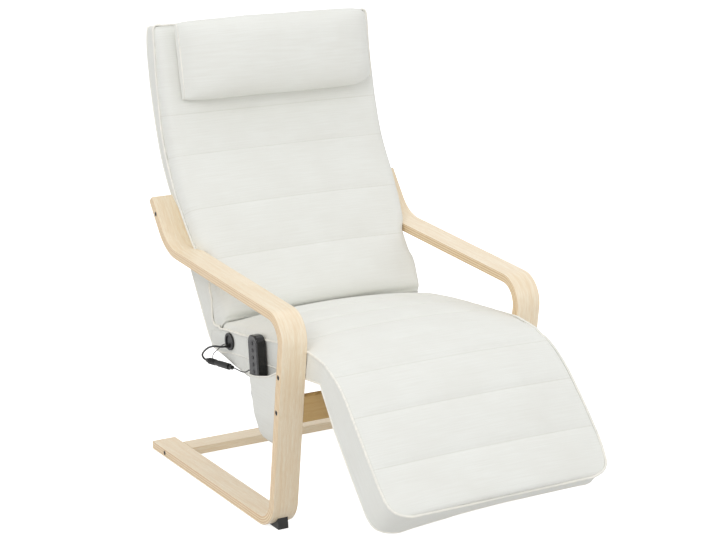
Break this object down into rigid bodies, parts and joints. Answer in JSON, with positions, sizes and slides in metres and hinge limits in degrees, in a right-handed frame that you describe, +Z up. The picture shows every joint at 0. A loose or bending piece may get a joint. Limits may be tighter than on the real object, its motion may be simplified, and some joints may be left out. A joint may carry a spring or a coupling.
{
  "type": "reflexology chair",
  "caption": "Bentwood lounge recliner with a long box cushion, headrest pillow, hinged footrest, massage motors, lumbar heating mat and a handset in a side pocket.",
  "frame": {"origin": "on the floor, below the middle of the chair's overall width and depth, with the footrest in its pictured position", "axes": "+X to the sitter's left, +Y to the rear, +Z up; the chair faces -Y"},
  "size_m": [0.665, 1.1406, 1.0438],
  "materials": {
    "birch": "clear satin lacquer over steam-bent birch laminate",
    "cream_fabric": "off-white plain-weave cotton cover",
    "black_plastic": "fine matt",
    "black_steel": "blackened socket-head bolts",
    "bright_steel": "zinc plated",
    "cable_rubber": "satin sheath",
    "blue_plastic": "fine matt",
    "heating_cloth": "red felt with heating wire",
    "foam": "open-cell foam",
    "grey_plastic": "dark grey, fine matt",
    "keys": "grey silicone-coated keys",
    "circuit": "green solder mask"
  },
  "bodies": {
    "frame": {"side_frame_right": "birch", "side_frame_left": "birch", "rear_floor_rail": "birch", "front_stretcher": "birch", "seat_rail_right": "birch", "seat_rail_left": "birch", "frame_slats": "birch", "cross_rails": "birch", "back_cushion": "cream_fabric", "seat_cushion": "cream_fabric", "knee_cushion": "cream_fabric", "cover_underside": "cream_fabric", "headrest_straps": "cream_fabric", "side_flap": "cream_fabric", "side_pocket": "cream_fabric", "foot_wedges": "black_plastic", "rail_spacers": "black_plastic", "cable_grommet": "black_plastic", "motor_cups": "black_plastic", "frame_bolts": "black_steel", "barrel_nuts": "bright_steel", "hinge_cups": "bright_steel", "hinge_pins": "bright_steel", "detent_springs": "bright_steel", "hinge_screws": "bright_steel", "motor_cans": "bright_steel", "cushion_leads": "cable_rubber", "lead_to_handset": "cable_rubber", "inline_socket": "cable_rubber", "inline_plug": "cable_rubber", "wiring_harness": "cable_rubber", "motor_caps": "blue_plastic", "heating_mat": "heating_cloth", "lumbar_foam": "foam"},
    "footrest": {"footrest_rails": "birch", "footrest_slats": "birch", "hinge_arms": "bright_steel", "footrest_hinge_screws": "bright_steel", "footrest_cushion": "cream_fabric", "footrest_underside": "cream_fabric", "calf_motor_cups": "black_plastic", "calf_motor_caps": "blue_plastic", "calf_motor_cans": "bright_steel"},
    "pillow": {"headrest_pillow": "cream_fabric"},
    "handset": {"handset_front": "grey_plastic", "handset_rear": "black_plastic", "handset_board": "circuit"},
    "rotor_shoulder_right": {"rotor_shoulder_right": "bright_steel"},
    "rotor_shoulder_left": {"rotor_shoulder_left": "bright_steel"},
    "rotor_lumbar_right": {"rotor_lumbar_right": "bright_steel"},
    "rotor_lumbar_left": {"rotor_lumbar_left": "bright_steel"},
    "rotor_thigh_right": {"rotor_thigh_right": "bright_steel"},
    "rotor_thigh_left": {"rotor_thigh_left": "bright_steel"},
    "rotor_calf_right": {"rotor_calf_right": "bright_steel"},
    "rotor_calf_left": {"rotor_calf_left": "bright_steel"},
    "button_power": {"button_power": "keys"},
    "button_mode": {"button_mode": "keys"},
    "button_speed": {"button_speed": "keys"},
    "button_timer": {"button_timer": "keys"},
    "button_heat": {"button_heat": "keys"}
  },
  "joints": [
    {"name": "footrest_hinge", "type": "hinge", "parent": "frame", "child": "footrest", "pos_m": [0, -0.26515, 0.3735], "axis": [-1, 0, 0], "range_deg": [-36, 46], "deforming": ["knee_cushion"]},
    {"name": "pillow_slide", "type": "slide", "parent": "frame", "child": "pillow", "axis": [0, -0.2053, -0.9787], "range_m": [0, 0.05], "deforming": ["headrest_straps"]},
    {"name": "handset_lift", "type": "slide", "parent": "frame", "child": "handset", "axis": [0, 0.1097, 0.994], "range_m": [0, 0.07]},
    {"name": "rotor_shoulder_right_spin", "type": "hinge", "parent": "frame", "child": "rotor_shoulder_right", "pos_m": [-0.1105, 0.45606, 0.70443], "axis": [1, 0, 0], "continuous": true},
    {"name": "rotor_shoulder_left_spin", "type": "hinge", "parent": "frame", "child": "rotor_shoulder_left", "pos_m": [0.1205, 0.45606, 0.70443], "axis": [1, 0, 0], "continuous": true},
    {"name": "rotor_lumbar_right_spin", "type": "hinge", "parent": "frame", "child": "rotor_lumbar_right", "pos_m": [-0.1105, 0.30852, 0.48095], "axis": [1, 0, 0], "continuous": true},
    {"name": "rotor_lumbar_left_spin", "type": "hinge", "parent": "frame", "child": "rotor_lumbar_left", "pos_m": [0.1205, 0.30852, 0.48095], "axis": [1, 0, 0], "continuous": true},
    {"name": "rotor_thigh_right_spin", "type": "hinge", "parent": "frame", "child": "rotor_thigh_right", "pos_m": [-0.1105, -0.08764, 0.3806], "axis": [1, 0, 0], "continuous": true},
    {"name": "rotor_thigh_left_spin", "type": "hinge", "parent": "frame", "child": "rotor_thigh_left", "pos_m": [0.1205, -0.08764, 0.3806], "axis": [1, 0, 0], "continuous": true},
    {"name": "rotor_calf_right_spin", "type": "hinge", "parent": "footrest", "child": "rotor_calf_right", "pos_m": [-0.1105, -0.38531, 0.28051], "axis": [1, 0, 0], "continuous": true},
    {"name": "rotor_calf_left_spin", "type": "hinge", "parent": "footrest", "child": "rotor_calf_left", "pos_m": [0.1205, -0.38531, 0.28051], "axis": [1, 0, 0], "continuous": true},
    {"name": "button_power_press", "type": "slide", "parent": "handset", "child": "button_power", "axis": [1, 0, 0], "range_m": [0, 0.001], "stiffness_N_per_m": 400, "springref_m": -0.0005},
    {"name": "button_mode_press", "type": "slide", "parent": "handset", "child": "button_mode", "axis": [1, 0, 0], "range_m": [0, 0.001], "stiffness_N_per_m": 400, "springref_m": -0.0005},
    {"name": "button_speed_press", "type": "slide", "parent": "handset", "child": "button_speed", "axis": [1, 0, 0], "range_m": [0, 0.001], "stiffness_N_per_m": 400, "springref_m": -0.0005},
    {"name": "button_timer_press", "type": "slide", "parent": "handset", "child": "button_timer", "axis": [1, 0, 0], "range_m": [0, 0.001], "stiffness_N_per_m": 400, "springref_m": -0.0005},
    {"name": "button_heat_press", "type": "slide", "parent": "handset", "child": "button_heat", "axis": [1, 0, 0], "range_m": [0, 0.001], "stiffness_N_per_m": 400, "springref_m": -0.0005}
  ]
}
